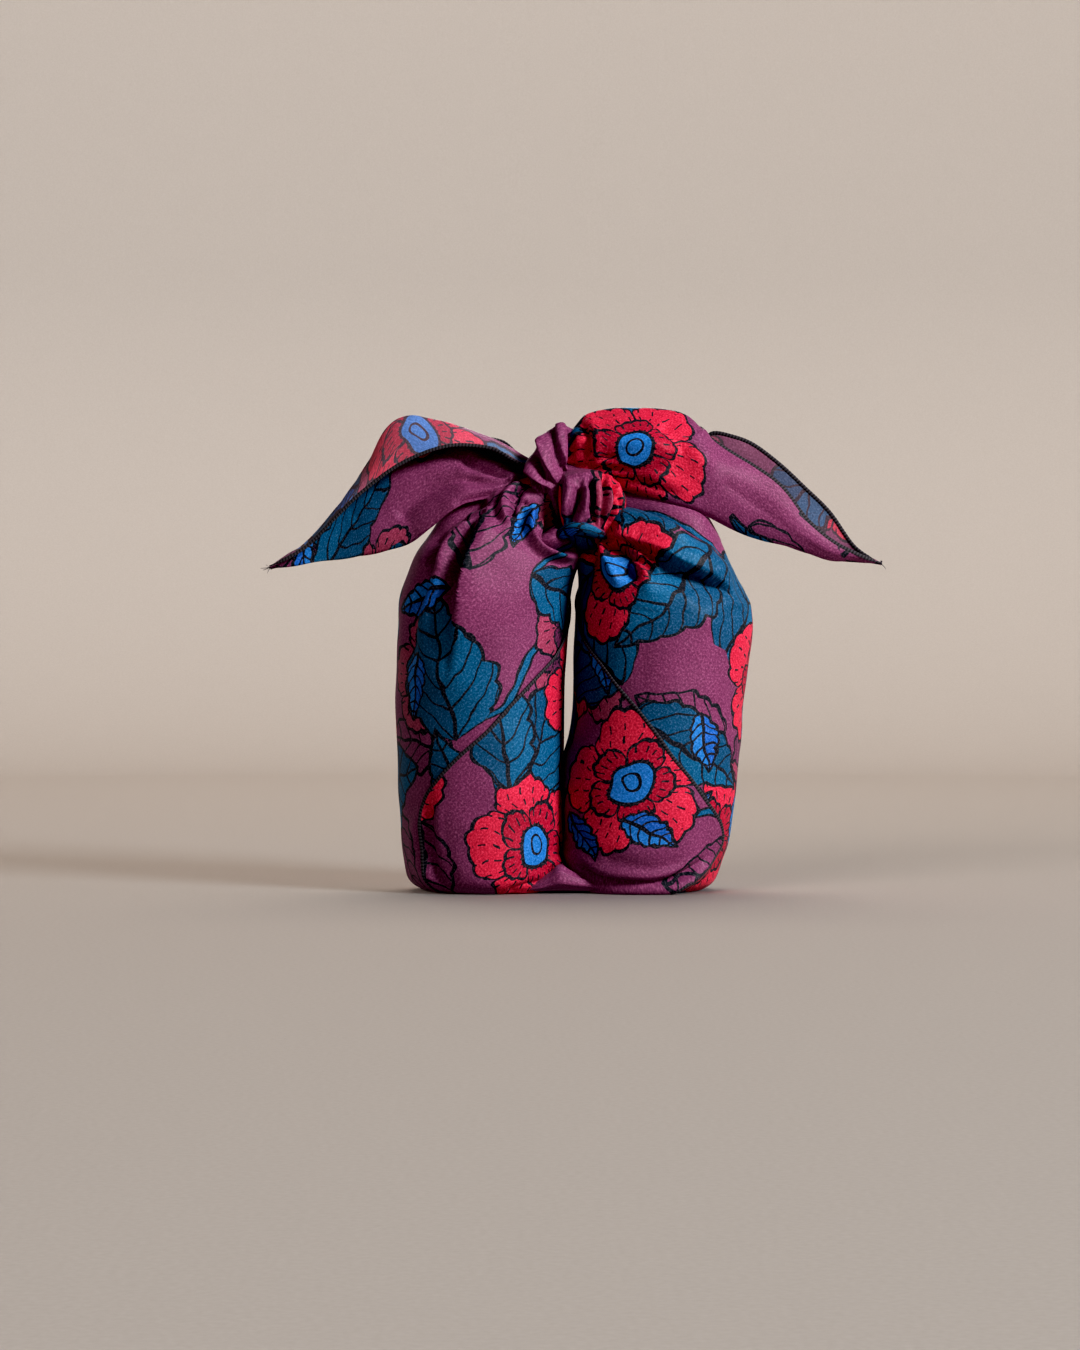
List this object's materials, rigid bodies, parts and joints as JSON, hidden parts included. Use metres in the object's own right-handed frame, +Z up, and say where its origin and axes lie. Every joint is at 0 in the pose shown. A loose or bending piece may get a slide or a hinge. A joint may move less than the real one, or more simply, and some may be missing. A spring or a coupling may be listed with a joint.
{
  "type": "furoshiki wrap",
  "caption": "Square printed cloth rolled round two upright cylinders, folded up and tied above them in a square knot, with two drooping ears",
  "frame": {"origin": "bottom centre of the bounding box, on the surface that the wrap stands on", "axes": "+X from the left column to the right column, along the two ears; -Y towards the viewer; +Z up through the knot"},
  "size_m": [0.252, 0.0714, 0.1982],
  "materials": {
    "printed_cloth": "matt woven cloth with a faint sheen, plum ground printed with flowers and leaves"
  },
  "bodies": {
    "root": {"furoshiki_cloth": "printed_cloth"}
  },
  "joints": []
}
